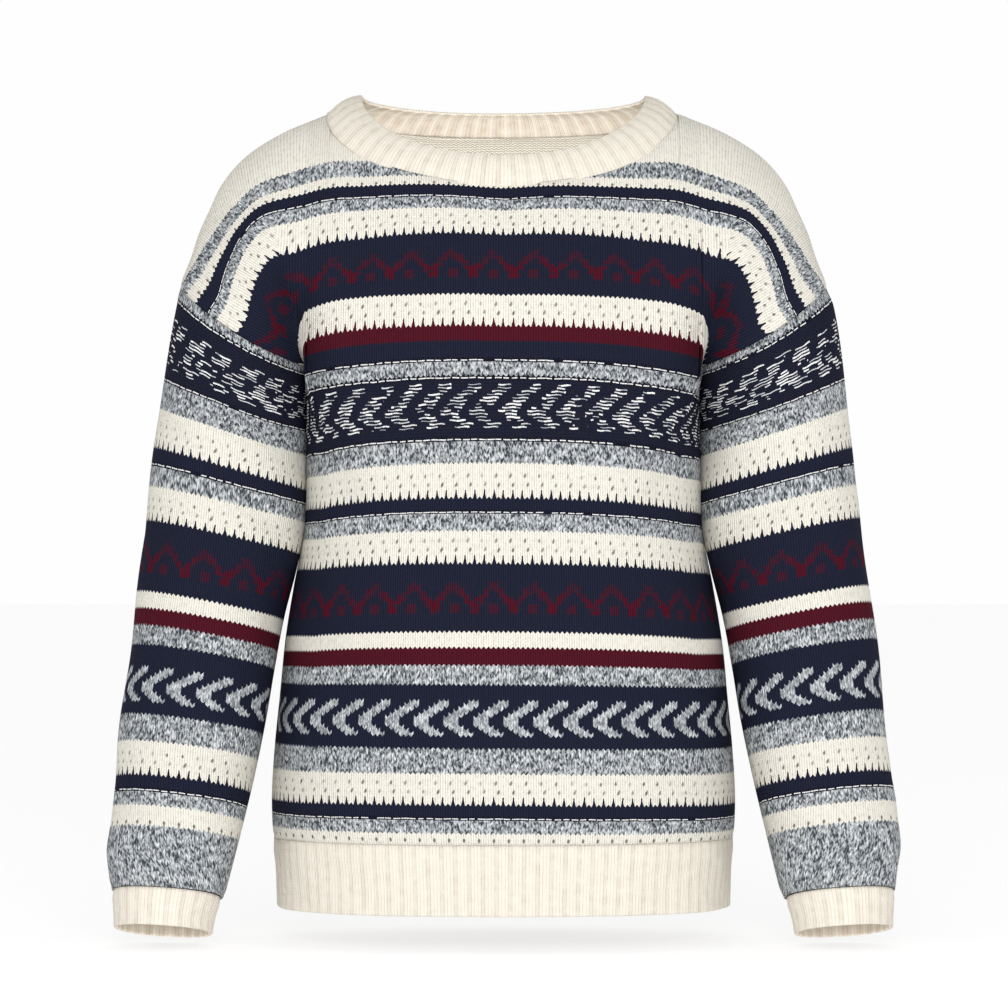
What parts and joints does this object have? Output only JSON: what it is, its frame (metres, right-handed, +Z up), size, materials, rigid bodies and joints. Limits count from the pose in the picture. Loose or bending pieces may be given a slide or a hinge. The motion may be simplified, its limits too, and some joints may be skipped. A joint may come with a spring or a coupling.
{
  "type": "striped sweater",
  "caption": "Striped crew-neck knitted pullover with dropped shoulders and long sleeves, in worn shape and hollow.",
  "frame": {"origin": "midway between the two high points of the neck, where the wearer's shoulders carry the garment", "axes": "+X to the right of someone who faces the front, -Y out of the front, +Z up"},
  "size_m": [0.572, 0.231, 0.6178],
  "materials": {
    "striped_knit": "soft wool-blend stocking stitch in navy, cream, grey marl and burgundy stripes",
    "cream_rib": "soft cream one-by-one rib"
  },
  "bodies": {
    "root": {"front_panel": "striped_knit", "back_panel": "striped_knit", "left_side_sleeve": "striped_knit", "right_side_sleeve": "striped_knit", "neckband": "cream_rib", "front_hem_rib": "cream_rib", "back_hem_rib": "cream_rib", "left_side_cuff": "cream_rib", "right_side_cuff": "cream_rib"}
  },
  "joints": []
}
